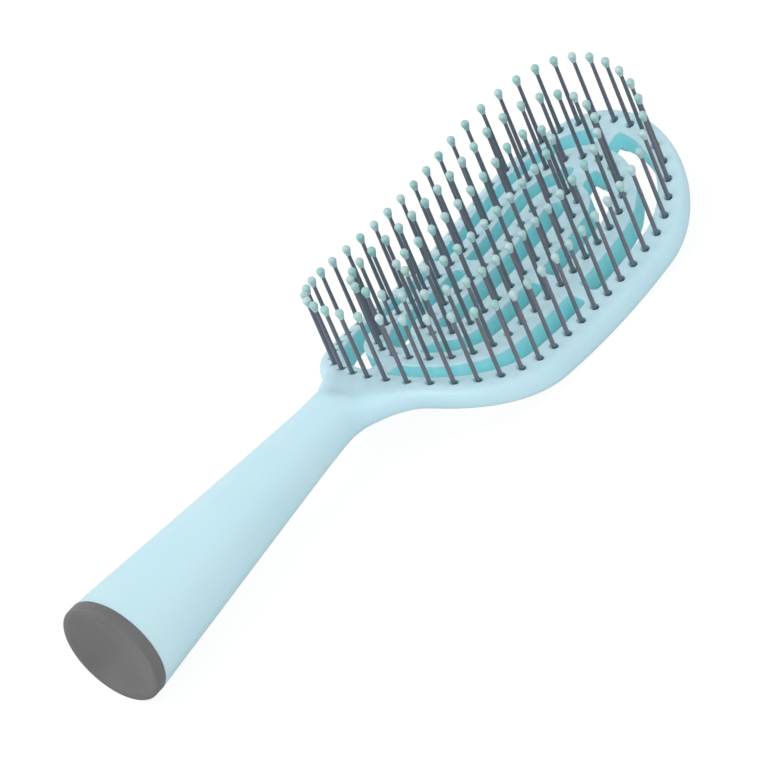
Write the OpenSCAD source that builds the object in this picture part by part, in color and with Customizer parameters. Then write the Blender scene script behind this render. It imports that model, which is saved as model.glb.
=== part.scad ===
// Vented detangling brush: a one-piece frame with three oval rows of ball-tipped pins
// and a plug that closes the hollow handle. Millimetres.
// The origin is the middle of the plug's flat end ring. +X runs along the handle to the
// head, +Z is the way the pins point, and the brush is alike on both sides of Y = 0.

/* [Handle] */
// Distance from the end of the handle to the middle of the head
head_x = 173; // [168:0.5:190]
// Diameter of the handle at its end
butt_d = 31.8; // [28:0.2:36]
// Diameter of the handle where it is narrowest
neck_d = 15.8; // [13:0.2:20]
// Distance from the end of the handle to where it is narrowest
neck_x = 97.5; // [88:0.5:99]
// Wall of the hollow part of the handle
handle_wall = 2.4; // [1.6:0.1:3.5]
// Length of the hollow part of the handle
hollow_len = 82; // [40:1:84]

/* [End plug] */
// Thickness of the plug's outside band
band_h = 3.4; // [2.6:0.1:4]
// Rounding of the band's outer edge
band_round = 0.7; // [0.3:0.1:1]
// Width of the flat ring round the dished face
ring_w = 0.9; // [0.6:0.1:1.4]
// Depth of the dished face
dish_h = 3; // [1.6:0.1:3.4]
// Wall between the dished face and the sleeve's bore
dish_wall = 1.8; // [1.2:0.1:2.4]
// Length of the sleeve that holds the plug in the handle
sleeve_len = 9; // [5:0.5:14]
// Wall of the sleeve
sleeve_wall = 1.6; // [1:0.1:2.4]
// Gap between the sleeve and the handle's wall
sleeve_gap = 0.1; // [0.05:0.05:0.2]

/* [Head] */
// Distance between the middles of the round ends of each row
row_span = 49.6; // [44:0.2:54]
// Radius of the inner row at its round ends
inner_row_r = 7.3; // [6.6:0.1:9]
// Distance from one row of pins to the next
row_gap = 13.2; // [12.4:0.1:14.4]
// Width of the inner and middle ribs
rib_w = 7.6; // [6.6:0.1:8]
// Width of the outer rim
rim_w = 7.9; // [7:0.1:8.6]
// Distance from the middle of one rib to the next
rib_gap = 13.6; // [13.2:0.1:14]
// Thickness of the head
head_t = 7.5; // [6.8:0.1:9]
// Width of the rim's outer rounding
rim_round = 2.6; // [2:0.1:3.6]
// Rounding of the rim's inner edges
rim_edge = 1.2; // [0.6:0.1:1.6]
// Width of the bridges across the slots
bridge_w = 4.6; // [3.4:0.1:6]
// Width of the spine that runs from the neck through the rows
spine_w = 6.4; // [4:0.1:7]
// Rounding of the slots' corners
corner_r = 1.5; // [0.8:0.1:1.8]
// How far the bridges and the spine lie below the ribs' faces
bridge_sink = 0.3; // [0.2:0.05:0.6]
// How far their undersides lie above the ribs' undersides
bridge_lift = 2; // [1:0.1:3]
// Radius of the lengthwise hollow of the head
hollow_r = 210; // [180:5:300]
// Radius of the crosswise crown of the head
crown_r = 112; // [100:1:200]
// How far the head's middle lies below the handle's axis
head_drop = 8.2; // [7.4:0.1:9]
// How far the hollow's lowest line lies from the head's middle, towards the toe
hollow_shift = 2.9; // [0:0.1:4]

/* [Pins] */
// Height of a pin's ball centre above the head
pin_h = 22.1; // [18:0.1:26]
// How far the pins lean towards the toe, in degrees
pin_lean = 0.8; // [0:0.1:2]
// Diameter of a pin at the head
pin_root_d = 1.3; // [1.1:0.05:1.6]
// Diameter of a pin at its ball
pin_top_d = 1.1; // [0.9:0.05:1.3]
// Diameter of the ball on a pin
ball_d = 2.4; // [2:0.05:2.8]
// Length of the taper under the ball
ball_taper_h = 1.9; // [1.4:0.1:2.6]
// Wall of the taper where it ends on the pin
skirt_wall = 0.15; // [0.1:0.05:0.3]
// Depth of the hole that holds a pin
pin_hole_h = 4.6; // [3.4:0.1:5.2]
// Diameter of the shallow recess round a pin
recess_d = 2.5; // [2:0.1:3]
// Depth of the recess
recess_h = 0.8; // [0.5:0.1:1.2]
// Gap between a pin and its hole
pin_gap = 0.02; // [0.01:0.01:0.05]
// Number of pins in the outer, middle and inner row
row_counts = [50, 38, 24];

/* [Hidden] */
frame_col = [0.72, 0.88, 0.93];
plug_col = [0.42, 0.42, 0.42];
pin_col = [0.33, 0.34, 0.38];
tip_col = [0.62, 0.82, 0.77];
$fn = 32;
// Overrun of the cuts, past the face that they open
over = 1;
half_span = row_span / 2;
butt_r = butt_d / 2;
neck_r = neck_d / 2;
middle_row_r = inner_row_r + row_gap;
outer_row_r = inner_row_r + 2 * row_gap;
row_radii = [outer_row_r, middle_row_r, inner_row_r];
// The middle row starts half a pitch round, so its pins straddle the spine
row_start_shares = [0, 0.5, 0];
// The inner row stands on the middle of its rib, and the others a little inside it
middle_rib_r = inner_row_r + rib_gap;
rim_mid_r = inner_row_r + 2 * rib_gap;
rim_out_r = rim_mid_r + rim_w / 2;
rim_in_r = rim_mid_r - rim_w / 2;

// Height of the head's face; x is measured from the middle of the head
function crown_drop(y) = crown_r - sqrt(crown_r * crown_r - y * y);
function face_z(x, y) =
    hollow_r - head_drop - sqrt(pow(hollow_r + crown_drop(y), 2) - pow(x - hollow_shift, 2));

// Smooth step from 0 to 1
function ease(t) = t <= 0 ? 0 : t >= 1 ? 1 : t * t * (3 - 2 * t);

// Place s along a row, from the toe end round to the left side, as [x, y]
function quarter(r) = PI * r / 2;
function row_len(r) = 4 * quarter(r) + 2 * row_span;
function arc_at(r, side, deg) = [side * half_span + r * cos(deg), r * sin(deg)];
function row_at(r, s) =
    s < quarter(r) ? arc_at(r, 1, 90 * s / quarter(r)) :
    s < quarter(r) + row_span ? [half_span - (s - quarter(r)), r] :
    s < 3 * quarter(r) + row_span ? arc_at(r, -1, 90 * (s - row_span) / quarter(r)) :
    s < 3 * quarter(r) + 2 * row_span ? [s - 3 * quarter(r) - row_span - half_span, -r] :
    arc_at(r, 1, 90 * (s - 2 * row_span) / quarter(r));
function row_places(k) = [
    for (i = [0 : row_counts[k] - 1])
        row_at(row_radii[k], row_len(row_radii[k]) * (i + row_start_shares[k]) / row_counts[k])
];

// Oval with straight sides, made of two discs and the square between them
module oval(r) {
    translate([half_span, 0]) circle(r);
    translate([-half_span, 0]) circle(r);
    square([row_span, 2 * r], center = true);
}

// Oval ring centred on the radius r
module oval_ring(r, w) {
    difference() {
        oval(r + w / 2);
        oval(r - w / 2);
    }
}

// Slab between two faces that follow the head, sunk under the upper face and lifted off the lower
slab_deg = 22;
slab_y = rim_out_r + over;
module slab(sink, lift) {
    axis_to_crown = hollow_r + crown_r;
    translate([hollow_shift, 0, hollow_r - head_drop])
        rotate([0, 90, 90])
            rotate([0, 0, -slab_deg])
                rotate_extrude(angle = 2 * slab_deg, $fn = 200)
                    intersection() {
                        difference() {
                            translate([axis_to_crown, 0]) circle(crown_r - sink);
                            translate([axis_to_crown, 0]) circle(crown_r - head_t + lift);
                        }
                        translate([hollow_r - over, -slab_y])
                            square([head_t + crown_drop(slab_y) + 2 * over, 2 * slab_y]);
                    }
}

// Depth of the upright prisms that the head is cut from
prism_z = head_drop + head_t + crown_drop(slab_y) + over;
prism_h = 2 * prism_z + over;
module prism() {
    translate([0, 0, -prism_z]) linear_extrude(prism_h) children();
}

module inner_ribs() {
    intersection() {
        slab(0, 0);
        prism() {
            oval_ring(inner_row_r, rib_w);
            oval_ring(middle_rib_r, rib_w);
        }
    }
}

// Bars across the slots: the spine at both ends and one bridge on each side. They start
// this far inside the middle of the inner rib.
bar_lap = 1;
bar_in = inner_row_r - bar_lap;
bar_out = rim_in_r + rim_edge;
// The slots' edges as [radius, way from the edge into the slot]
slot_edges = [
    [inner_row_r + rib_w / 2, 1],
    [middle_rib_r - rib_w / 2, -1],
    [middle_rib_r + rib_w / 2, 1],
    [rim_in_r, -1]
];
// A corner's round cuts this far into the rib and the bar that it joins
corner_lap = 0.06;
corner_in = corner_r - corner_lap;
// How far a corner's solid reaches into the rib and the bar, as a share of its round
corner_reach_share = 1.5;

// Corner between a rib and a bar, round m; to_rib and to_bar are unit steps from m
module corner(m, to_rib, to_bar) {
    reach = corner_r + corner_lap;
    difference() {
        polygon([
            m,
            m + reach * to_rib,
            m + corner_reach_share * reach * (to_rib + to_bar),
            m + reach * to_bar
        ]);
        translate(m) circle(corner_r);
    }
}

// The spine's end towards +X, and half of a bridge towards +Y
module spine_end() {
    translate([half_span + bar_in, -spine_w / 2]) square([bar_out - bar_in, spine_w]);
    for (edge = slot_edges) {
        r = edge[0] + edge[1] * corner_in;
        y = spine_w / 2 + corner_in;
        x = sqrt(r * r - y * y);
        for (way = [-1, 1])
            corner([half_span + x, way * y], -edge[1] * [x, way * y] / r, [0, -way]);
    }
}
module bridge() {
    translate([-bridge_w / 2, bar_in]) square([bridge_w, bar_out - bar_in]);
    for (edge = slot_edges) for (way = [-1, 1])
        corner(
            [way * (bridge_w / 2 + corner_in), edge[0] + edge[1] * corner_in],
            [0, -edge[1]],
            [-way, 0]
        );
}
module bridges() {
    intersection() {
        slab(bridge_sink, bridge_lift);
        prism() {
            spine_end();
            mirror([1, 0]) spine_end();
            bridge();
            mirror([0, 1]) bridge();
        }
    }
}

// Section of the rim as [out, down] points: small inner roundings, a full outer round
rim_edge_steps = 2;
rim_round_steps = 10;
rim_section = concat(
    [for (i = [0 : rim_edge_steps]) let (a = 90 * i / rim_edge_steps)
        [-rim_w / 2 + rim_edge * (1 - sin(a)), rim_edge * (1 - cos(a))]],
    [for (i = [0 : rim_edge_steps]) let (a = 90 * i / rim_edge_steps)
        [-rim_w / 2 + rim_edge * (1 - cos(a)), head_t - rim_edge * (1 - sin(a))]],
    [for (i = [0 : rim_round_steps]) let (a = 180 * i / rim_round_steps)
        [rim_w / 2 - rim_round * (1 - sin(a)), head_t / 2 * (1 + cos(a))]]
);
// Stations round the oval as [middle of the arc, bearing]
arc_steps = 18;
side_steps = 6;
rim_stations = concat(
    [for (i = [0 : arc_steps]) [half_span, -90 + 180 * i / arc_steps]],
    [for (i = [1 : side_steps - 1]) [half_span - row_span * i / side_steps, 90]],
    [for (i = [0 : arc_steps]) [-half_span, 90 + 180 * i / arc_steps]],
    [for (i = [1 : side_steps - 1]) [-half_span + row_span * i / side_steps, 270]]
);
function rim_point(st, p) =
    let (r = rim_mid_r + p[0], x = st[0] + r * cos(st[1]), y = r * sin(st[1]))
    [x, y, face_z(x, y) - p[1]];

module rim() {
    n = len(rim_section);
    m = len(rim_stations);
    points = [for (st = rim_stations) for (p = rim_section) rim_point(st, p)];
    faces = [
        for (i = [0 : m - 1]) for (j = [0 : n - 1])
            let (here = i * n, next = (i + 1) % m * n, k = (j + 1) % n)
            each [[here + j, here + k, next + j], [here + k, next + k, next + j]]
    ];
    polyhedron(points, faces);
}

// Neck: sections that widen from the round handle into the rim
flare_start = neck_x - head_x;
flare_end_share = 0.98;
flare_end = -half_span - flare_end_share * outer_row_r;
flare_len = flare_end - flare_start;
flare_w = sqrt(pow(rim_out_r, 2) - pow(flare_end + half_span, 2));
// The neck meets the rim along the rim's own outline and the head's own slope
flare_slope = -(flare_end + half_span) / flare_w;
bottom_slope = (flare_end - hollow_shift) / sqrt(pow(hollow_r, 2) - pow(flare_end - hollow_shift, 2));
flare_bottom_z = face_z(flare_end, 0) - head_t;
// How far the neck's sides and its underside stand off a plain blend, half way along it
side_swell = 2.4;
bottom_lift = 0.5;
// How softly the handle's top line turns into the head's face
neck_blend = 1.5;
neck_stations = 16;
neck_sides = 32;
neck_square = 1.2;
// The neck starts this far inside the handle's end and ends this far under the rim's face
neck_lap = 0.06;
neck_sink = 0.15;
function soft_min(a, b) = (a + b - sqrt(pow(a - b, 2) + pow(neck_blend, 2))) / 2;
function spow(v, p) = sign(v) * pow(abs(v), p);
neck_start_r = neck_r - neck_lap;
// Blend from a to b that ends at a slope and stands off by lift half way
function blend(t, a, b, slope, lift) =
    a + (b - a) * ease(t) - slope * flare_len * t * t * (1 - t) + lift * pow(4 * t * (1 - t), 2);
function neck_top_z(x) =
    neck_start_r + (soft_min(neck_r, face_z(x, 0)) - neck_start_r) * ease((x - flare_start) / neck_r);
function neck_point(i, j) =
    let (
        t = max(0, i / neck_stations),
        x = i < 0 ? flare_start - over : flare_start + flare_len * t,
        top = neck_top_z(x) - neck_sink * ease(t),
        bottom = blend(t, -neck_start_r, flare_bottom_z, bottom_slope, bottom_lift),
        e = 2 / (2 + neck_square * ease(t)),
        a = 360 * j / neck_sides,
        y = blend(t, neck_start_r, flare_w, flare_slope, side_swell) * spow(sin(a), e)
    )
    [x, y, (top + bottom) / 2 + (top - bottom) / 2 * spow(cos(a), e) - crown_drop(y) * ease(t)];

module neck() {
    n = neck_sides;
    m = neck_stations + 1;
    points = [for (i = [-1 : neck_stations]) for (j = [0 : n - 1]) neck_point(i, j)];
    faces = concat(
        [[for (j = [0 : n - 1]) n - 1 - j]],
        [[for (j = [0 : n - 1]) m * n + j]],
        [for (i = [0 : m - 1]) for (j = [0 : n - 1])
            let (here = i * n, next = here + n, k = (j + 1) % n)
            each [[here + j, here + k, next + j], [here + k, next + k, next + j]]]
    );
    polyhedron(points, faces);
}

// Turned shape of the handle along +X
module along_handle() {
    rotate([0, 90, 0]) children();
}

module handle_cone() {
    along_handle() translate([0, 0, band_h]) cylinder(h = neck_x - band_h, r1 = butt_r, r2 = neck_r);
}

module handle_hollow() {
    end_r = neck_r - handle_wall;
    along_handle() {
        translate([0, 0, band_h - over]) cylinder(h = sleeve_len + over, r = butt_r - handle_wall);
        translate([0, 0, band_h + sleeve_len - over / 2])
            cylinder(h = hollow_len - sleeve_len, r1 = butt_r - handle_wall - over, r2 = end_r);
    }
}

module pin_holes() {
    for (k = [0 : 2]) at_row(k) {
        translate([0, 0, -pin_hole_h]) cylinder(h = pin_hole_h, d = pin_root_d + 2 * pin_gap);
        translate([0, 0, -recess_h]) cylinder(h = recess_h + over, d = recess_d);
    }
}

module brush_frame() {
    color(frame_col) difference() {
        union() {
            handle_cone();
            translate([head_x, 0, 0]) {
                neck();
                rim();
                inner_ribs();
                bridges();
            }
        }
        handle_hollow();
        pin_holes();
    }
}

module end_plug() {
    dish_r = butt_r - band_round - ring_w;
    ball_r = (dish_r * dish_r + dish_h * dish_h) / (2 * dish_h);
    sleeve_r = butt_r - handle_wall - sleeve_gap;
    color(plug_col) along_handle() difference() {
        union() {
            cylinder(h = band_h, r = butt_r - band_round);
            translate([0, 0, band_round]) cylinder(h = band_h - band_round, r = butt_r);
            translate([0, 0, band_round]) rotate_extrude() translate([butt_r - band_round, 0]) circle(band_round);
            cylinder(h = band_h + sleeve_len, r = sleeve_r);
        }
        translate([0, 0, dish_h - ball_r]) sphere(ball_r, $fn = 128);
        translate([0, 0, dish_h + dish_wall])
            cylinder(h = band_h + sleeve_len + over - dish_h - dish_wall, r = sleeve_r - sleeve_wall);
    }
}

// Children set at the head's face along each pin of row k
module at_row(k) {
    translate([head_x, 0, 0])
        for (p = row_places(k))
            translate([p[0], p[1], face_z(p[0], p[1])]) rotate([0, pin_lean, 0]) children();
}

module pins(k) {
    root_r = pin_root_d / 2;
    top_r = pin_top_d / 2;
    color(pin_col) at_row(k) rotate_extrude()
        polygon([
            [0, -pin_hole_h],
            [root_r, -pin_hole_h],
            [root_r, 0],
            [top_r, pin_h - ball_taper_h],
            [top_r, pin_h],
            [0, pin_h]
        ]);
}

module tips(k) {
    ball_r = ball_d / 2;
    // The taper meets the ball where its slope is the ball's own
    join_z = -ball_r / 3;
    join_r = sqrt(ball_r * ball_r - join_z * join_z);
    color(tip_col) at_row(k) translate([0, 0, pin_h]) difference() {
        union() {
            sphere(ball_r);
            translate([0, 0, -ball_taper_h])
                cylinder(h = ball_taper_h + join_z, r1 = pin_top_d / 2 + pin_gap + skirt_wall, r2 = join_r);
        }
        translate([0, 0, -ball_taper_h - over])
            cylinder(h = ball_taper_h + over, d = pin_top_d + 2 * pin_gap);
    }
}

brush_frame();
end_plug();
pins(0);  // outer_pins
pins(1);  // middle_pins
pins(2);  // inner_pins
tips(0);  // outer_tips
tips(1);  // middle_tips
tips(2);  // inner_tips
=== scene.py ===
import math

import bmesh
import bpy
import numpy as np
from mathutils import Matrix, Vector
from mathutils.geometry import delaunay_2d_cdt


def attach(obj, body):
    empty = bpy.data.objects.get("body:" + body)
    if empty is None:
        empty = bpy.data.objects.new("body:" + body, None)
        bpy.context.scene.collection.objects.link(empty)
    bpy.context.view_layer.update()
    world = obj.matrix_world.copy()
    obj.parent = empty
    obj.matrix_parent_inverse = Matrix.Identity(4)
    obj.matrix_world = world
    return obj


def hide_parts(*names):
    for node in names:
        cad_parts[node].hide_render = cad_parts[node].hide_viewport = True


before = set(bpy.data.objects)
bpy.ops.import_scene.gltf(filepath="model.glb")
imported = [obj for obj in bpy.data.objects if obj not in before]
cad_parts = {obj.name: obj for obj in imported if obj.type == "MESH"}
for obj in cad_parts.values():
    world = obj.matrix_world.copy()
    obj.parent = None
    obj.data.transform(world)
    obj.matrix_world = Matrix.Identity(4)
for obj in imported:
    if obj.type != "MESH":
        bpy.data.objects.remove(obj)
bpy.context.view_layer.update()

# The brush's own sizes, in millimetres, in the frame's axes. HEAD_X is the head's middle.
# HEAD_T is a little under the solid's, so that the rounded head stays inside the solid's box.
MM = 0.001
HEAD_X = 173.0
BUTT_R = 15.9
NECK_R = 7.9
NECK_X = 97.5
HANDLE_WALL = 2.4
HOLLOW_LEN = 82.0
BAND_H = 3.4
BAND_ROUND = 0.7
BAND_SEAM = 0.12
RING_W = 0.9
RING_STEP = 0.12
DISH_H = 3.0
DISH_WALL = 1.8
SLEEVE_LEN = 9.0
SLEEVE_WALL = 1.6
SLEEVE_GAP = 0.1
HALF_SPAN = 24.8
INNER_ROW_R = 7.3
ROW_GAP = 13.2
RIB_GAP = 13.6
RIB_W = 7.6
RIM_W = 7.9
HEAD_T = 7.46
RIM_ROUND = 2.6
BRIDGE_W = 4.6
SPINE_W = 6.4
BRIDGE_LIFT = 2.0
CORNER_R = 1.5
HOLLOW_R = 210.0
CROWN_R = 112.0
HEAD_DROP = 8.2
HOLLOW_SHIFT = 2.9
PIN_H = 22.1
PIN_LEAN = math.radians(0.8)
PIN_ROOT_R = 0.65
PIN_TOP_R = 0.55
BALL_R = 1.2
TAPER_H = 1.9
SKIRT_W = 0.17
SKIRT_LIP = 0.1
PIN_HOLE_H = 4.6
RECESS_R = 1.25
RECESS_H = 0.8
RECESS_EDGE = 0.12
HANDLE_EDGE = 0.25
POLE_R = 1.0

MIDDLE_ROW_R = INNER_ROW_R + ROW_GAP
OUTER_ROW_R = INNER_ROW_R + 2 * ROW_GAP
MIDDLE_RIB_R = INNER_ROW_R + RIB_GAP
RIM_OUT_R = INNER_ROW_R + 2 * RIB_GAP + RIM_W / 2
RIM_IN_R = INNER_ROW_R + 2 * RIB_GAP - RIM_W / 2
SLOT_BANDS = (
    (INNER_ROW_R + RIB_W / 2, MIDDLE_RIB_R - RIB_W / 2),
    (MIDDLE_RIB_R + RIB_W / 2, RIM_IN_R),
)
ROWS = (
    ("outer", OUTER_ROW_R, 50, 0.0),
    ("middle", MIDDLE_ROW_R, 38, 0.5),
    ("inner", INNER_ROW_R, 24, 0.0),
)

# Neck, measured from the head's middle
FLARE_END_SHARE = 0.98
FLARE_START = NECK_X - HEAD_X
FLARE_END = -HALF_SPAN - FLARE_END_SHARE * OUTER_ROW_R
FLARE_LEN = FLARE_END - FLARE_START
FLARE_W = math.sqrt(RIM_OUT_R**2 - (FLARE_END + HALF_SPAN) ** 2)
FLARE_SLOPE = -(FLARE_END + HALF_SPAN) / FLARE_W
SIDE_SWELL = 2.4
BOTTOM_LIFT = 0.5
NECK_BLEND = 1.5
NECK_ROUND_SHARE = 1.15
CONE_BLEND = 6.0
SLOT_EDGE = 0.5
BAR_BLEND = 1.0
SLOPE_STEP = 0.1

# How finely each curve is drawn: points along it, or sides round it
NECK_POINTS = 31
SHOULDER_POINTS = 14
SIDE_POINTS = 26
TOE_POINTS = 31
EDGE_SEGMENTS = 14
OVER_POINTS = 13
BLEND_RINGS = 14
CONE_RINGS = 30
HANDLE_EDGE_RINGS = 4
SLOT_EDGE_RINGS = 5
RECESS_SIDES = 24
PIN_SIDES = 16
PIN_RINGS = 9
TIP_SIDES = 20
TAPER_RINGS = 7
BALL_RINGS = 11
PLUG_SIDES = 96
DISH_RINGS = 26
BAND_RINGS = 7


# Heights of the head and neck, for numbers or arrays, from the head's middle


def ease(t):
    t = np.clip(t, 0.0, 1.0)
    return t * t * (3 - 2 * t)


def hermite(t, a, slope_a, b, slope_b):
    """Cubic from a to b over t from 0 to 1, with slopes per unit of t."""
    return (
        a * (2 * t**3 - 3 * t**2 + 1)
        + slope_a * (t**3 - 2 * t**2 + t)
        + b * (3 * t**2 - 2 * t**3)
        + slope_b * (t**3 - t**2)
    )


def swell(t):
    """Bump of height 1, half way from 0 to 1."""
    return 16 * (t * (1 - t)) ** 2


def flare_w(t):
    """Half width of the neck, from the handle at 0 to the rim at 1."""
    return hermite(t, NECK_R, 0, FLARE_W, FLARE_SLOPE * FLARE_LEN) + SIDE_SWELL * swell(t)


def crown_drop(y):
    return CROWN_R - np.sqrt(CROWN_R**2 - y * y)


def face_z(x, y):
    return HOLLOW_R - HEAD_DROP - np.sqrt((HOLLOW_R + crown_drop(y)) ** 2 - (x - HOLLOW_SHIFT) ** 2)


def row_radius(x, y):
    """Distance from the straight line that every oval is drawn round."""
    return np.hypot(np.maximum(np.abs(x) - HALF_SPAN, 0), y)


def neck_share(x):
    return np.clip((x - FLARE_START) / FLARE_LEN, 0.0, 1.0)


def top_z(x, y):
    """Top of the neck and head: the neck's top eases down from the cone to the head's face."""
    share = ease(neck_share(x))
    middle = face_z(x, 0)
    line = (NECK_R + middle - np.sqrt((NECK_R - middle) ** 2 + NECK_BLEND**2)) / 2
    line = NECK_R + (line - NECK_R) * ease((x - FLARE_START) / NECK_R)
    line = line + (middle - line) * share
    return line + (face_z(x, y) - middle) * share


def rim_bottom(x, y):
    """Underside of the neck and of the outer rim."""
    start = face_z(FLARE_END, 0) - HEAD_T
    slope = (face_z(FLARE_END + SLOPE_STEP, 0) - HEAD_T - start) / SLOPE_STEP
    share = neck_share(x)
    neck = hermite(share, -NECK_R, 0, start, slope * FLARE_LEN) + BOTTOM_LIFT * swell(share)
    neck = neck + (face_z(x, y) - face_z(x, 0)) * ease(share)
    head = face_z(x, y) - HEAD_T
    return np.where(x < FLARE_END, neck, head)


def bar_share(x, y):
    """1 on the bridges and the spine, easing to 0 where they join the ribs."""
    r = row_radius(x, y)
    across = np.maximum(
        (np.abs(x) < BRIDGE_W / 2 + CORNER_R) * 1.0,
        (np.abs(y) < SPINE_W / 2 + CORNER_R) * (np.abs(x) > HALF_SPAN),
    )
    share = 0.0
    for r_in, r_out in SLOT_BANDS:
        share = share + ease((r - r_in) / BAR_BLEND) * ease((r_out - r) / BAR_BLEND)
    return share * across


def bottom_z(x, y):
    """Underside of everything: the inner ribs follow the face, and the bars lie higher."""
    rib = face_z(x, y) - HEAD_T
    middle_edge = MIDDLE_RIB_R + RIB_W / 2
    share = ease((row_radius(x, y) - middle_edge) / (RIM_IN_R - middle_edge))
    return rib + (rim_bottom(x, y) - rib) * share + BRIDGE_LIFT * bar_share(x, y)


# Plan outline of the neck and head: stations as x, y, outward x, outward y and edge round


def half_outline():
    """Stations with y above zero, from the handle's front end round to the toe."""
    rows = []
    tiny = 0.001
    for t in np.linspace(0, 1, NECK_POINTS):
        x = FLARE_START + FLARE_LEN * t
        w = flare_w(t)
        slope = (flare_w(t + tiny) - w) / tiny / FLARE_LEN
        size = math.hypot(slope, 1)
        edge = NECK_R + (RIM_ROUND - NECK_R) * float(ease(t * NECK_ROUND_SHARE))
        rows.append((x, w, -slope / size, 1 / size, edge))
    join = math.atan2(FLARE_W, FLARE_END + HALF_SPAN)
    for a in np.linspace(join, math.pi / 2, SHOULDER_POINTS)[1:]:
        c, s = math.cos(a), math.sin(a)
        rows.append((-HALF_SPAN + RIM_OUT_R * c, RIM_OUT_R * s, c, s, RIM_ROUND))
    for x in np.linspace(-HALF_SPAN, HALF_SPAN, SIDE_POINTS)[1:]:
        rows.append((x, RIM_OUT_R, 0.0, 1.0, RIM_ROUND))
    for a in np.linspace(math.pi / 2, 0, TOE_POINTS)[1:]:
        c, s = math.cos(a), math.sin(a)
        rows.append((HALF_SPAN + RIM_OUT_R * c, RIM_OUT_R * s, c, s, RIM_ROUND))
    return rows


def whole_outline():
    half = half_outline()
    other = [(x, -y, nx, -ny, e) for x, y, nx, ny, e in reversed(half[:-1])]
    return np.array(half + other)


OUTLINE = whole_outline()


def edge_distance(x, y):
    """Distance to the outline and the edge round there, for arrays of places."""
    a, b = OUTLINE[:-1], OUTLINE[1:]
    along = b[:, :2] - a[:, :2]
    px = np.asarray(x)[:, None] - a[None, :, 0]
    py = np.asarray(y)[:, None] - a[None, :, 1]
    t = np.clip((px * along[:, 0] + py * along[:, 1]) / (along**2).sum(1), 0, 1)
    d = np.hypot(px - t * along[:, 0], py - t * along[:, 1])
    best = d.argmin(1)
    rows = np.arange(len(d))
    t = t[rows, best]
    return d[rows, best], a[best, 4] * (1 - t) + b[best, 4] * t


def faces_at(x, y):
    """Heights of the top and the bottom face, rounded towards the outline."""
    d, r = edge_distance(x, y)
    top, bottom = top_z(x, y), bottom_z(x, y)
    share = np.sqrt(1 - np.clip(1 - d / r, 0, 1) ** 2)
    middle, half = (top + bottom) / 2, (top - bottom) / 2
    return middle + half * share, middle - half * share


# Slots and rows, with the spacing of points along arcs, straight sides, round ends and corners
ARC_STEP = 1.0
SIDE_STEP = 1.2
END_STEP = 0.5
CORNER_STEP = 0.4


def arc(cx, cy, r, start, end, step=ARC_STEP, outward=1):
    """Points of an arc, angles in radians, each with its unit step out of the slot."""
    n = max(3, int(abs(end - start) * r / step) + 1)
    angles = np.linspace(start, end, n)
    c, s = np.cos(angles), np.sin(angles)
    return np.stack([cx + r * c, cy + r * s, outward * c, outward * s], 1)


def straight(x0, y0, x1, y1, nx, ny):
    """Points of a straight side, each with the same unit step as in arc."""
    n = max(2, int(math.hypot(x1 - x0, y1 - y0) / SIDE_STEP) + 1)
    t = np.linspace(0, 1, n)
    flat = np.ones(n)
    return np.stack([x0 + (x1 - x0) * t, y0 + (y1 - y0) * t, nx * flat, ny * flat], 1)


def joined(parts):
    """One closed loop without the repeated points."""
    rows = np.concatenate(parts)
    gap = np.hypot(*(rows[:, :2] - np.roll(rows[:, :2], 1, axis=0)).T)
    same_place = 1e-6
    return rows[gap > same_place]


def quarter_slot(r_in, r_out):
    """Slot between two ribs in the quarter with x and y above zero."""
    c = CORNER_R
    bridge_x = BRIDGE_W / 2
    spine_y = SPINE_W / 2
    near = HALF_SPAN + math.sqrt((r_in + c) ** 2 - (spine_y + c) ** 2)
    far = HALF_SPAN + math.sqrt((r_out - c) ** 2 - (spine_y + c) ** 2)
    near_a = math.atan2(spine_y + c, near - HALF_SPAN)
    far_a = math.atan2(spine_y + c, far - HALF_SPAN)
    turn = math.pi / 2
    return joined([
        straight(bridge_x + c, r_in, HALF_SPAN, r_in, 0, -1),
        arc(HALF_SPAN, 0, r_in, turn, near_a, outward=-1),
        arc(near, spine_y + c, c, near_a + math.pi, 3 * turn, CORNER_STEP),
        straight(near, spine_y, far, spine_y, 0, -1),
        arc(far, spine_y + c, c, 3 * turn, 4 * turn + far_a, CORNER_STEP),
        arc(HALF_SPAN, 0, r_out, far_a, turn),
        straight(HALF_SPAN, r_out, bridge_x + c, r_out, 0, 1),
        arc(bridge_x + c, r_out - c, c, turn, 2 * turn, CORNER_STEP),
        straight(bridge_x, r_out - c, bridge_x, r_in + c, -1, 0),
        arc(bridge_x + c, r_in + c, c, 2 * turn, 3 * turn, CORNER_STEP),
    ])


def slot_loops():
    """The long slot in the middle and the eight slots between the ribs."""
    r = INNER_ROW_R - RIB_W / 2
    turn = math.pi / 2
    loops = [joined([
        straight(-HALF_SPAN, -r, HALF_SPAN, -r, 0, -1),
        arc(HALF_SPAN, 0, r, -turn, turn, END_STEP),
        straight(HALF_SPAN, r, -HALF_SPAN, r, 0, 1),
        arc(-HALF_SPAN, 0, r, turn, 3 * turn, END_STEP),
    ])]
    for r_in, r_out in SLOT_BANDS:
        quarter = quarter_slot(r_in, r_out)
        for flip_x in (1, -1):
            for flip_y in (1, -1):
                loops.append(quarter * np.array([flip_x, flip_y, flip_x, flip_y]))
    return loops


def row_place(r, s):
    """Place s along a row, from the toe end round to the left side."""
    quarter = math.pi * r / 2
    span = 2 * HALF_SPAN
    if s < quarter:
        return HALF_SPAN + r * math.cos(s / r), r * math.sin(s / r)
    if s < quarter + span:
        return HALF_SPAN - (s - quarter), r
    if s < 3 * quarter + span:
        a = (s - span) / r
        return -HALF_SPAN + r * math.cos(a), r * math.sin(a)
    if s < 3 * quarter + 2 * span:
        return s - 3 * quarter - span - HALF_SPAN, -r
    a = (s - 2 * span) / r
    return HALF_SPAN + r * math.cos(a), r * math.sin(a)


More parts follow.
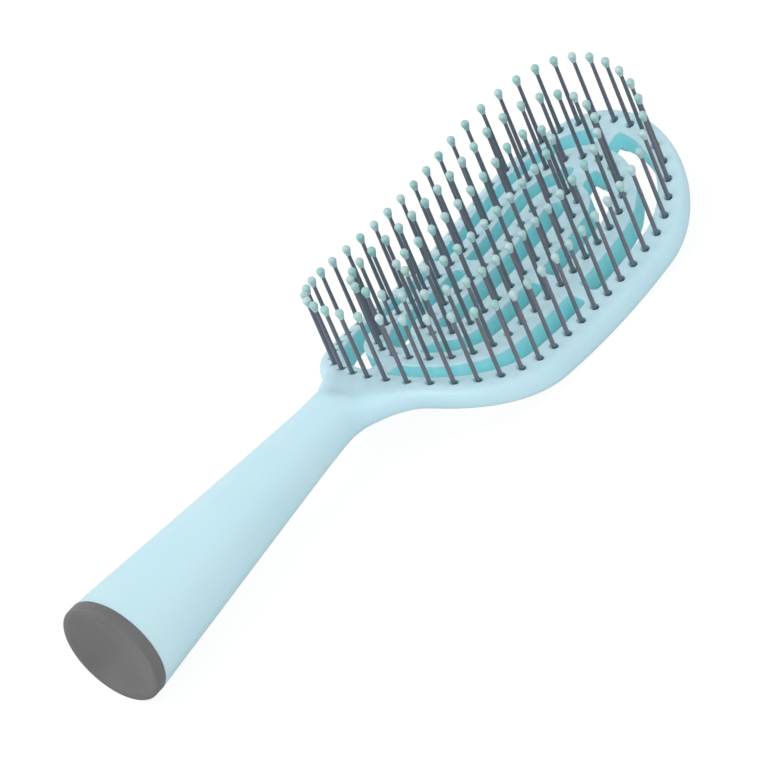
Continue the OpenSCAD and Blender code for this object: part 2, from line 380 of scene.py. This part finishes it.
def row_places(r, count, start_share):
    """Evenly spaced places along one row."""
    length = 2 * math.pi * r + 4 * HALF_SPAN
    return [row_place(r, length * (i + start_share) / count) for i in range(count)]


# Meshes. A point's tint picks its colour: 0 is the outer skin, 1 is painted glow of bounced light
# on inner walls and 2 is painted shade in recesses.
WALL_GLOW_TINT = 1.0
RECESS_SHADE_TINT = 2.0


class Builder:
    """Collects points, faces and each point's tint, in millimetres from the head's middle."""

    def __init__(self):
        self.points, self.tints, self.faces = [], [], []

    def ring(self, xyz, tint=0.0):
        """Add points and give their indices."""
        start = len(self.points)
        self.points += [tuple(p) for p in xyz]
        self.tints += list(np.broadcast_to(tint, len(xyz)))
        return list(range(start, start + len(xyz)))

    def band(self, a, b, closed=True):
        """Four-sided faces between two rings."""
        n = len(a)
        for i in range(n if closed else n - 1):
            j = (i + 1) % n
            self.faces.append((a[i], a[j], b[j], b[i]))

    def bands(self, rings):
        for a, b in zip(rings, rings[1:]):
            self.band(a, b)

    def cap(self, ring):
        self.faces.append(tuple(ring))

    def finish(self, name, weld=0.004):
        """Weld, turn the faces outward and make a smooth object."""
        mesh = bpy.data.meshes.new(name)
        mesh.from_pydata([((x + HEAD_X) * MM, y * MM, z * MM) for x, y, z in self.points], [], self.faces)
        # The inside attribute holds each point's tint: painted glow on inner walls, painted shade in
        # recesses
        values = mesh.attributes.new("inside", "FLOAT", "POINT")
        values.data.foreach_set("value", np.array(self.tints, np.float32))
        work = bmesh.new()
        work.from_mesh(mesh)
        bmesh.ops.remove_doubles(work, verts=work.verts, dist=weld * MM)
        bmesh.ops.dissolve_degenerate(work, edges=work.edges, dist=weld * MM / 4)
        bmesh.ops.recalc_face_normals(work, faces=work.faces)
        open_edges = sum(1 for e in work.edges if not e.is_manifold)
        work.to_mesh(mesh)
        work.free()
        for polygon in mesh.polygons:
            polygon.use_smooth = True
        print(name, "faces", len(mesh.polygons), "edges that aren't closed", open_edges)
        piece = bpy.data.objects.new(name, mesh)
        bpy.context.scene.collection.objects.link(piece)
        return piece


# Spacing of the faces' inner points, the least share of it to a loop, and the edge's end angle
GRID = 2.2
NEAR_SHARE = 0.42
OPEN_DEG = 62


def inside_loops(x, y, a, b):
    """Whether each place lies inside the area between closed loops, given their sides from a to b."""
    above = (a[None, :, 1] > y[:, None]) != (b[None, :, 1] > y[:, None])
    not_zero = 1e-9
    rise = np.where(b[:, 1] == a[:, 1], not_zero, b[:, 1] - a[:, 1])
    cross_x = a[:, 0] + (y[:, None] - a[:, 1]) * (b[:, 0] - a[:, 0]) / rise
    return (above & (x[:, None] < cross_x)).sum(1) % 2 == 1


def fill_face(builder, boundary_loops, use_top):
    """Triangles between closed loops of builder points; the first loop is the outside one."""
    side = 0 if use_top else 1
    flat, edges, owner = [], [], []
    for loop in boundary_loops:
        start = len(flat)
        n = len(loop)
        flat += [Vector(builder.points[i][:2]) for i in loop]
        owner += list(loop)
        edges += [(start + i, start + (i + 1) % n) for i in range(n)]
    fixed = np.array([(v.x, v.y) for v in flat])
    ends = np.array(edges)
    x = np.arange(FLARE_START, HALF_SPAN + RIM_OUT_R, GRID)
    y = np.arange(-RIM_OUT_R, RIM_OUT_R, GRID)
    gx, gy = (v.ravel() for v in np.meshgrid(x, y))
    gx = gx + (np.round((gy + RIM_OUT_R) / GRID) % 2) * GRID / 2
    a, b = fixed[ends[:, 0]], fixed[ends[:, 1]]
    inside = inside_loops(gx, gy, a, b)
    near = np.hypot(gx[:, None] - fixed[:, 0], gy[:, None] - fixed[:, 1]).min(1)
    keep = inside & (near > NEAR_SHARE * GRID)
    gx, gy = gx[keep], gy[keep]
    owner += builder.ring(np.stack([gx, gy, faces_at(gx, gy)[side]], 1))
    flat += [Vector((px, py)) for px, py in zip(gx, gy)]
    same_place = 1e-5
    spots, _, triangles, sources, _, _ = delaunay_2d_cdt(flat, edges, [], 0, same_place)
    index = []
    for spot, source in zip(spots, sources):
        if source:
            index.append(owner[source[0]])
        else:
            height = faces_at(np.array([spot.x]), np.array([spot.y]))[side][0]
            index += builder.ring([(spot.x, spot.y, height)])
    spots = np.array([(v.x, v.y) for v in spots])
    middles = np.array([spots[face].mean(0) for face in triangles])
    for face, wanted in zip(triangles, inside_loops(middles[:, 0], middles[:, 1], a, b)):
        if wanted:
            builder.faces.append(tuple(index[i] for i in face))


def edge_angle(j):
    """Angle of one ring of the rounded edge, from the top side down to the bottom side."""
    return math.radians(OPEN_DEG * (1 - 2 * j / EDGE_SEGMENTS))


def outline_rings(builder):
    """The rounded edge all round the neck and head; its first ring bounds the top face."""
    rings = []
    x, y, nx, ny, r = OUTLINE.T
    for j in range(EDGE_SEGMENTS + 1):
        a = edge_angle(j)
        inward = r * (1 - math.cos(a))
        px, py = x - nx * inward, y - ny * inward
        top, bottom = top_z(px, py), bottom_z(px, py)
        z = (top + bottom) / 2 + (top - bottom) / 2 * math.sin(a)
        rings.append(builder.ring(np.stack([px, py, z], 1)))
    for a, b in zip(rings, rings[1:]):
        builder.band(a, b, closed=False)
    return rings


def handle_ring_angles():
    """Angles of one handle ring: left side, over the top, right side and underneath."""
    side = np.array([edge_angle(j) for j in range(EDGE_SEGMENTS + 1)])
    over = np.radians(np.linspace(OPEN_DEG, 180 - OPEN_DEG, OVER_POINTS))[1:-1]
    right = math.pi - side[::-1]
    under = np.radians(np.linspace(180 + OPEN_DEG, 360 - OPEN_DEG, OVER_POINTS))[1:-1]
    return side, over, right, under


def handle_radius(x):
    """Radius of the handle: a cone that eases into the neck."""
    reach = NECK_X - BAND_H
    cone = (BUTT_R - NECK_R) / (math.hypot(reach, CONE_BLEND) - CONE_BLEND)
    return NECK_R + cone * (math.hypot(NECK_X - x, CONE_BLEND) - CONE_BLEND)


def handle(builder, rings):
    """Cone, end wall and hollow; its front ring is the first station of the edge rings."""
    side, over, right, under = handle_ring_angles()
    left_ids = [ring[0] for ring in rings]
    right_ids = [ring[-1] for ring in rings]
    over_ids, under_ids = [
        builder.ring([(FLARE_START, NECK_R * math.cos(a), NECK_R * math.sin(a)) for a in angles])
        for angles in (over, under)
    ]
    angles = np.concatenate([side[::-1], over, right[::-1], under])
    cos, sin = np.cos(angles), np.sin(angles)

    def ring(x, r, tint=0.0):
        return builder.ring(np.stack([np.full(len(cos), x - HEAD_X), r * cos, r * sin], 1), tint)

    # Rings lie closer together where the cone eases into the neck
    skin = [left_ids[::-1] + over_ids + right_ids + under_ids]
    blend_end = 76.0
    skin_end = BAND_H + 0.3
    for x in np.linspace(NECK_X, blend_end, BLEND_RINGS)[1:]:
        skin.append(ring(x, handle_radius(x)))
    for x in np.linspace(blend_end, skin_end, CONE_RINGS)[1:]:
        skin.append(ring(x, handle_radius(x)))
    end_r = handle_radius(BAND_H)
    for a in np.linspace(0, math.pi / 2, HANDLE_EDGE_RINGS):
        skin.append(ring(BAND_H + HANDLE_EDGE * (1 - math.sin(a)), end_r - HANDLE_EDGE * (1 - math.cos(a))))
    bore = BUTT_R - HANDLE_WALL
    bore_step = 1.0
    hollow = (
        (BAND_H, bore),
        (BAND_H + SLEEVE_LEN, bore),
        (BAND_H + SLEEVE_LEN, bore - bore_step),
        (BAND_H + HOLLOW_LEN, NECK_R - HANDLE_WALL),
        (BAND_H + HOLLOW_LEN, POLE_R),
    )
    # The hollow's walls take the wall tint, a painted glow of bounced light
    skin += [ring(x, r, WALL_GLOW_TINT) for x, r in hollow]
    builder.bands(skin)
    builder.cap(skin[-1])
    return over_ids, under_ids


# Angle on a slot's rounded edge where its tint begins, and the tint, for the top and the bottom.
# The tint is painted light: the saturated glow of light bounced inside the slots.
SLOT_TINTS = ((1.2, 0.5), (0.8, 0.8))
SLOT_WALL_SHARES = (0.25, 0.5, 0.75)


def slot_edge(builder, loop, side, turns):
    """Rings of a slot's rounded edge, on the top (side 0) or the bottom (side 1)."""
    x, y, nx, ny = loop.T
    inward = 1 if side else -1
    tint_from, tint = SLOT_TINTS[side]
    rings = []
    for a in turns:
        out = SLOT_EDGE * (1 - math.sin(a))
        px, py = x + nx * out, y + ny * out
        z = faces_at(px, py)[side] + inward * SLOT_EDGE * (1 - math.cos(a))
        rings.append(builder.ring(np.stack([px, py, z], 1), 0.0 if a < tint_from else tint))
    return rings


def slot_walls(builder, loop):
    """Rounded edges and wall of one slot; returns its top and bottom loop."""
    x, y = loop.T[:2]
    turns = np.linspace(0, math.pi / 2, SLOT_EDGE_RINGS)
    rings = slot_edge(builder, loop, 0, turns)
    top, bottom = faces_at(x, y)
    # The wall rings take the wall tint, a painted glow of light bounced inside the slot
    for share in SLOT_WALL_SHARES:
        z = top - SLOT_EDGE + (bottom - top + 2 * SLOT_EDGE) * share
        rings.append(builder.ring(np.stack([x, y, z], 1), WALL_GLOW_TINT))
    rings += slot_edge(builder, loop, 1, turns[::-1])
    builder.bands(rings)
    return rings[0], rings[-1]


# Direction in plan of the side of a recess that takes painted shade, how fast the painted shade
# rises there, and the shares of its edge and tint at the edge's middle ring
SHADED_SIDE_X, SHADED_SIDE_Y = 0.55, -0.83
SHADE_RISE = 0.9
EDGE_SHARE, TINT_SHARE = 0.3, 0.4


def circle(n):
    """Cosines and sines of n angles all round."""
    angles = np.linspace(0, 2 * math.pi, n, endpoint=False)
    return np.cos(angles), np.sin(angles)


def recess(builder, cx, cy):
    """Round recess with a blind hole for one pin and painted shade on its side away from the light; returns
    its rim loop.
    """
    cos, sin = circle(RECESS_SIDES)
    # Painted shade: the tint, and so the darker recess colour, rises on the side away from the light
    shade = RECESS_SHADE_TINT * ease(0.5 + SHADE_RISE * (SHADED_SIDE_X * cos + SHADED_SIDE_Y * sin))
    middle = faces_at(np.array([cx]), np.array([cy]))[0][0]
    profile = [
        (RECESS_R + RECESS_EDGE, 0.0, 0.0),
        (RECESS_R + RECESS_EDGE * EDGE_SHARE, RECESS_EDGE * EDGE_SHARE, shade * TINT_SHARE),
        (RECESS_R, RECESS_EDGE, shade),
    ]
    rings = []
    for r, down, tint in profile:
        px, py = cx + r * cos, cy + r * sin
        rings.append(builder.ring(np.stack([px, py, faces_at(px, py)[0] - down], 1), tint))
    bed = middle - RECESS_H
    for r, z in ((RECESS_R, bed), (PIN_ROOT_R, bed), (PIN_ROOT_R, middle - PIN_HOLE_H)):
        heights = np.full(RECESS_SIDES, z)
        rings.append(builder.ring(np.stack([cx + r * cos, cy + r * sin, heights], 1), shade))
    builder.bands(rings)
    builder.cap(rings[-1])
    return rings[0]


def build_frame():
    """Handle, neck and head in one closed skin."""
    builder = Builder()
    rings = outline_rings(builder)
    over_ids, under_ids = handle(builder, rings)
    top_loops = [rings[0] + over_ids[::-1]]
    bottom_loops = [rings[-1] + under_ids]
    for loop in slot_loops():
        top, bottom = slot_walls(builder, loop)
        top_loops.append(top)
        bottom_loops.append(bottom)
    for _, r, count, share in ROWS:
        for cx, cy in row_places(r, count, share):
            top_loops.append(recess(builder, cx, cy))
    fill_face(builder, top_loops, True)
    fill_face(builder, bottom_loops, False)
    return builder.finish("brush_frame_skin")


def lathe(builder, profile, place, sides):
    """Turned solid about a pin's leaning axis; the profile runs from pole to pole."""
    cos, sin = circle(sides)
    cx, cy, cz = place
    lean_c, lean_s = math.cos(PIN_LEAN), math.sin(PIN_LEAN)
    rings = []
    for r, z in profile:
        ring = [cx + r * cos * lean_c + z * lean_s, cy + r * sin, cz + z * lean_c - r * cos * lean_s]
        rings.append(builder.ring(np.stack(ring, 1)))
    builder.bands(rings)
    builder.cap(rings[0])
    builder.cap(rings[-1])


def tip_profile():
    """Ball with a taper that runs down onto the pin."""
    rows = []
    skirt = PIN_TOP_R + SKIRT_W
    join = math.radians(-20)
    nearly_top = math.radians(86)
    join_r, join_z = BALL_R * math.cos(join), BALL_R * math.sin(join)
    start_slope, end_slope = 0.2, 0.35
    for t in np.linspace(0, 1, TAPER_RINGS)[:-1]:
        r = hermite(t, skirt, start_slope, join_r, end_slope)
        rows.append((r, PIN_H - TAPER_H + (TAPER_H + join_z) * t))
    for a in np.linspace(join, nearly_top, BALL_RINGS):
        rows.append((BALL_R * math.cos(a), PIN_H + BALL_R * math.sin(a)))
    return [(skirt - SKIRT_LIP, PIN_H - TAPER_H)] + rows


def pin_profile():
    """Rod that tapers from its foot to the ball's skirt and runs on into the ball."""
    rows = [(PIN_ROOT_R, -PIN_HOLE_H)]
    for t in np.linspace(0, 1, PIN_RINGS):
        rows.append((PIN_ROOT_R + (PIN_TOP_R - PIN_ROOT_R) * t, (PIN_H - TAPER_H) * t))
    return rows + [(PIN_TOP_R, PIN_H)]


def build_row(name, r, count, share, tip):
    """All pins, or all ball tips, of one row."""
    if tip:
        kind, profile, sides = "tips", tip_profile(), TIP_SIDES
    else:
        kind, profile, sides = "pins", pin_profile(), PIN_SIDES
    builder = Builder()
    for cx, cy in row_places(r, count, share):
        lathe(builder, profile, (cx, cy, float(face_z(cx, cy))), sides)
    piece = builder.finish(f"{name}_{kind}_smooth", 0.0001)
    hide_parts(f"{name}_{kind}")
    return piece


def build_plug():
    """Cap with a dished face, a flat ring, a rounded band and a sleeve."""
    dish_r = BUTT_R - BAND_ROUND - RING_W
    ball_r = (dish_r**2 + DISH_H**2) / (2 * DISH_H)
    first_share = 0.04
    profile = []
    for r in dish_r * np.linspace(first_share, 1, DISH_RINGS):
        profile.append((r, DISH_H - (ball_r - math.sqrt(ball_r**2 - r * r))))
    profile.append((BUTT_R - BAND_ROUND - RING_STEP, 0.0))
    for a in np.linspace(0, math.pi / 2, BAND_RINGS):
        profile.append((BUTT_R - BAND_ROUND * (1 - math.sin(a)), BAND_ROUND * (1 - math.cos(a))))
    profile += [(BUTT_R, BAND_H - BAND_SEAM), (BUTT_R - BAND_SEAM, BAND_H)]
    sleeve_r = BUTT_R - HANDLE_WALL - SLEEVE_GAP
    bore_r = sleeve_r - SLEEVE_WALL
    sleeve_end, bore_end = BAND_H + SLEEVE_LEN, DISH_H + DISH_WALL
    profile += [(sleeve_r, BAND_H), (sleeve_r, sleeve_end), (bore_r, sleeve_end)]
    profile += [(bore_r, bore_end), (POLE_R, bore_end)]
    cos, sin = circle(PLUG_SIDES)
    builder = Builder()
    rings = []
    for r, x in profile:
        flat = np.full(PLUG_SIDES, x - HEAD_X)
        rings.append(builder.ring(np.stack([flat, r * cos, r * sin], 1)))
    builder.bands(rings)
    builder.cap(rings[0])
    builder.cap(rings[-1])
    return builder.finish("end_plug_smooth")


# Materials


def srgb(r, g, b):
    """Colour as it is seen, 0 to 255, in the shader's linear scale."""
    return tuple(
        (v / 255 / 12.92 if v <= 10.31 else ((v / 255 + 0.055) / 1.055) ** 2.4) for v in (r, g, b)
    ) + (1.0,)


def grey(level):
    return (level, level, level, 1)


class Tree:
    """The nodes of a material or a world, made and linked by short calls."""

    def __init__(self, owner):
        owner.use_nodes = True
        self.tree = owner.node_tree

    def clear(self):
        self.tree.nodes.clear()

    def node(self, kind, **values):
        made = self.tree.nodes.new(kind)
        for key, value in values.items():
            if hasattr(made, key):
                setattr(made, key, value)
            else:
                made.inputs[key.replace("_", " ")].default_value = value
        return made

    def link(self, a, b):
        self.tree.links.new(a, b)


class Shader(Tree):
    """A material round one Principled shader."""

    def __init__(self, name):
        self.material = bpy.data.materials.new(name)
        super().__init__(self.material)
        self.base = self.tree.nodes["Principled BSDF"]

    def set(self, **values):
        for key, value in values.items():
            self.base.inputs[key.replace("_", " ")].default_value = value

    def noise(self, scale, detail=3.0, roughness=0.5):
        place = self.node("ShaderNodeTexCoord")
        made = self.node("ShaderNodeTexNoise", Scale=scale, Detail=detail, Roughness=roughness)
        self.link(place.outputs["Object"], made.inputs["Vector"])
        return made.outputs["Fac"]

    def spread(self, source, low, high, start=0.35, end=0.65):
        made = self.node("ShaderNodeMapRange")
        made.inputs["From Min"].default_value = start
        made.inputs["From Max"].default_value = end
        made.inputs["To Min"].default_value = low
        made.inputs["To Max"].default_value = high
        self.link(source, made.inputs["Value"])
        return made.outputs["Result"]

    def mix(self, factor, a, b):
        made = self.node("ShaderNodeMix", data_type="RGBA")
        self.link(factor, made.inputs["Factor"])
        for value, socket in ((a, made.inputs[6]), (b, made.inputs[7])):
            if isinstance(value, tuple):
                socket.default_value = value
            else:
                self.link(value, socket)
        return made.outputs[2]

    def bump(self, source, strength, distance):
        made = self.node("ShaderNodeBump")
        made.inputs["Strength"].default_value = strength
        made.inputs["Distance"].default_value = distance
        self.link(source, made.inputs["Height"])
        self.link(made.outputs["Normal"], self.base.inputs["Normal"])


def frame_material():
    """One plastic whose colour follows the tint: outer skin, then walls in painted glow, then recesses in
    painted shade.
    """
    s = Shader("aqua_satin_plastic")
    broad = s.noise(38.0, 2.0)
    surface = s.mix(s.spread(broad, 0.0, 1.0), srgb(194, 230, 241), srgb(198, 232, 243))
    inside = s.node("ShaderNodeAttribute", attribute_name="inside")
    # Painted light: the walls' saturated colour stands in for light bounced inside the slots
    walls = s.mix(s.spread(inside.outputs["Fac"], 0.0, 1.0, 0.0, 1.0), surface, srgb(166, 244, 252))
    # Painted shade: the darker teal of the recesses
    colour = s.mix(s.spread(inside.outputs["Fac"], 0.0, 1.0, 1.0, 2.0), walls, srgb(100, 172, 178))
    s.link(colour, s.base.inputs["Base Color"])
    s.link(s.spread(s.noise(420.0, 4.0), 0.40, 0.48), s.base.inputs["Roughness"])
    s.bump(s.noise(2600.0, 4.0, 0.6), 0.05, 0.0002)
    s.set(Subsurface_Weight=0.35, Subsurface_Scale=0.004, Specular_IOR_Level=0.45)
    s.base.inputs["Subsurface Radius"].default_value = (0.6, 0.9, 1.0)
    return s.material


def plug_material():
    s = Shader("grey_satin_plastic")
    colour = s.mix(s.spread(s.noise(60.0, 3.0), 0.0, 1.0), srgb(103, 103, 103), srgb(110, 110, 110))
    s.link(colour, s.base.inputs["Base Color"])
    s.link(s.spread(s.noise(500.0, 4.0), 0.42, 0.52), s.base.inputs["Roughness"])
    s.bump(s.noise(2400.0, 4.0, 0.6), 0.06, 0.0002)
    s.set(Specular_IOR_Level=0.25)
    return s.material


def pin_material():
    s = Shader("dark_nylon_pins")
    colour = s.mix(s.spread(s.noise(140.0, 2.0), 0.0, 1.0), srgb(94, 108, 116), srgb(110, 108, 122))
    s.link(colour, s.base.inputs["Base Color"])
    s.link(s.spread(s.noise(900.0, 3.0), 0.30, 0.42), s.base.inputs["Roughness"])
    s.bump(s.noise(3500.0, 3.0), 0.05, 0.0001)
    return s.material


def tip_material():
    s = Shader("mint_ball_tips")
    colour = s.mix(s.spread(s.noise(130.0, 2.0), 0.0, 1.0), srgb(150, 198, 192), srgb(188, 211, 215))
    s.link(colour, s.base.inputs["Base Color"])
    s.link(s.spread(s.noise(900.0, 3.0), 0.28, 0.38), s.base.inputs["Roughness"])
    s.bump(s.noise(3500.0, 3.0), 0.04, 0.0001)
    s.set(Subsurface_Weight=0.35, Subsurface_Scale=0.0012)
    s.base.inputs["Subsurface Radius"].default_value = (0.7, 0.9, 1.0)
    return s.material


# The object


def shade_evenly(piece):
    weighted = piece.modifiers.new("even_shading", "WEIGHTED_NORMAL")
    weighted.weight = 60


skin = build_frame()
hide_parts("brush_frame")
skin.data.materials.append(frame_material())
shade_evenly(skin)

plug = build_plug()
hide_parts("end_plug")
plug.data.materials.append(plug_material())
shade_evenly(plug)

finishes = {"pin": pin_material(), "tip": tip_material()}
pieces = [(skin, "frame"), (plug, "plug")]
for row_name, row_r, row_count, row_share in ROWS:
    for slot_name in ("pin", "tip"):
        row = build_row(row_name, row_r, row_count, row_share, slot_name == "tip")
        row.data.materials.append(finishes[slot_name])
        pieces.append((row, slot_name))
for piece, slot_name in pieces:
    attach(piece, "root")

# Floor: the plane on which the plug's edge and the head's rim rest, in metres
FLOOR_HALF = 3.0
FLOOR_CORNERS = ((-1, -1), (1, -1), (1, 1), (-1, 1))

points = np.array([v.co for v in skin.data.vertices])
head_points = points[points[:, 0] > (HEAD_X - HALF_SPAN) * MM]
rest_x, rest_z = BAND_ROUND * MM, -BUTT_R * MM
floor_slope = ((head_points[:, 2] - rest_z) / (head_points[:, 0] - rest_x)).min()


def floor_point(side_x, side_y):
    x = side_x * FLOOR_HALF
    return x, side_y * FLOOR_HALF, rest_z + floor_slope * (x - rest_x)


floor_mesh = bpy.data.meshes.new("floor")
floor_mesh.from_pydata([floor_point(*corner) for corner in FLOOR_CORNERS], [], [(0, 1, 2, 3)])
floor = bpy.data.objects.new("floor", floor_mesh)
bpy.context.scene.collection.objects.link(floor)


def floor_material():
    """White paper that reads as plain white to the camera and still takes a faint shadow."""
    material = bpy.data.materials.new("white_floor")
    tree = Tree(material)
    tree.clear()
    out = tree.node("ShaderNodeOutputMaterial")
    paths = tree.node("ShaderNodeLightPath")
    plain = tree.node("ShaderNodeBsdfDiffuse", Color=grey(0.8))
    faint = tree.node("ShaderNodeBsdfDiffuse", Color=grey(0.12))
    glow = tree.node("ShaderNodeEmission", Strength=0.91)
    shown = tree.node("ShaderNodeAddShader")
    choose = tree.node("ShaderNodeMixShader")
    tree.link(faint.outputs[0], shown.inputs[0])
    tree.link(glow.outputs[0], shown.inputs[1])
    tree.link(paths.outputs["Is Camera Ray"], choose.inputs[0])
    tree.link(plain.outputs[0], choose.inputs[1])
    tree.link(shown.outputs[0], choose.inputs[2])
    tree.link(choose.outputs[0], out.inputs["Surface"])
    return material


floor_mesh.materials.append(floor_material())


# World, lamps and camera


def make_world():
    """Plain white to the camera, to reflections and through gaps, and dimmer white as light."""
    world = bpy.data.worlds.new("studio")
    bpy.context.scene.world = world
    tree = Tree(world)
    tree.clear()
    out = tree.node("ShaderNodeOutputWorld")
    paths = tree.node("ShaderNodeLightPath")
    seen = tree.node("ShaderNodeMath", operation="MAXIMUM")
    either = tree.node("ShaderNodeMath", operation="MAXIMUM")
    ambient = tree.node("ShaderNodeBackground", Color=grey(1), Strength=0.66)
    white = tree.node("ShaderNodeBackground", Color=grey(1), Strength=1.0)
    choose = tree.node("ShaderNodeMixShader")
    tree.link(paths.outputs["Is Camera Ray"], seen.inputs[0])
    tree.link(paths.outputs["Is Glossy Ray"], seen.inputs[1])
    tree.link(seen.outputs[0], either.inputs[0])
    tree.link(paths.outputs["Is Transmission Ray"], either.inputs[1])
    tree.link(either.outputs[0], choose.inputs[0])
    tree.link(ambient.outputs[0], choose.inputs[1])
    tree.link(white.outputs[0], choose.inputs[2])
    tree.link(choose.outputs[0], out.inputs["Surface"])


make_world()

MIDDLE = Vector((115, 0, 0)) * MM


def lamp(name, direction, distance, size, power):
    """Square soft lamp, turned to the brush's middle; distance and size in metres, power in watts."""
    data = bpy.data.lights.new(name, "AREA")
    data.shape = "SQUARE"
    data.size = size
    data.energy = power
    made = bpy.data.objects.new(name, data)
    away = Vector(direction).normalized()
    made.location = MIDDLE + away * distance
    made.rotation_euler = away.to_track_quat("Z", "Y").to_euler()
    bpy.context.scene.collection.objects.link(made)


lamp("key_softbox", (-0.23, 0.19, 0.94), 1.2, 0.55, 3.1)
lamp("front_fill", (-0.50, -0.67, 0.55), 1.6, 0.6, 6.2)
lamp("side_fill", (-0.62, 0.75, 0.22), 1.6, 0.6, 5.0)

# Camera as solved from the photograph: its place, the picture's right and down, and its lens
CAMERA_AT = Vector((-659.84, -1031.40, 842.23)) * MM
CAMERA_RIGHT = Vector((0.5894, -0.7293, -0.3475))
CAMERA_DOWN = Vector((-0.6315, -0.1477, -0.7612))
LENS = 268.53
SENSOR = 36.0

camera_data = bpy.data.cameras.new("camera")
camera_data.lens = LENS
camera_data.sensor_width = SENSOR
camera_data.clip_end = 50
camera = bpy.data.objects.new("camera", camera_data)
right = CAMERA_RIGHT.normalized()
back = right.cross(-CAMERA_DOWN).normalized()
up = back.cross(right)
camera.matrix_world = Matrix.Translation(CAMERA_AT) @ Matrix((right, up, back)).transposed().to_4x4()
bpy.context.scene.collection.objects.link(camera)
bpy.context.scene.camera = camera
bpy.context.scene.view_settings.view_transform = "Standard"
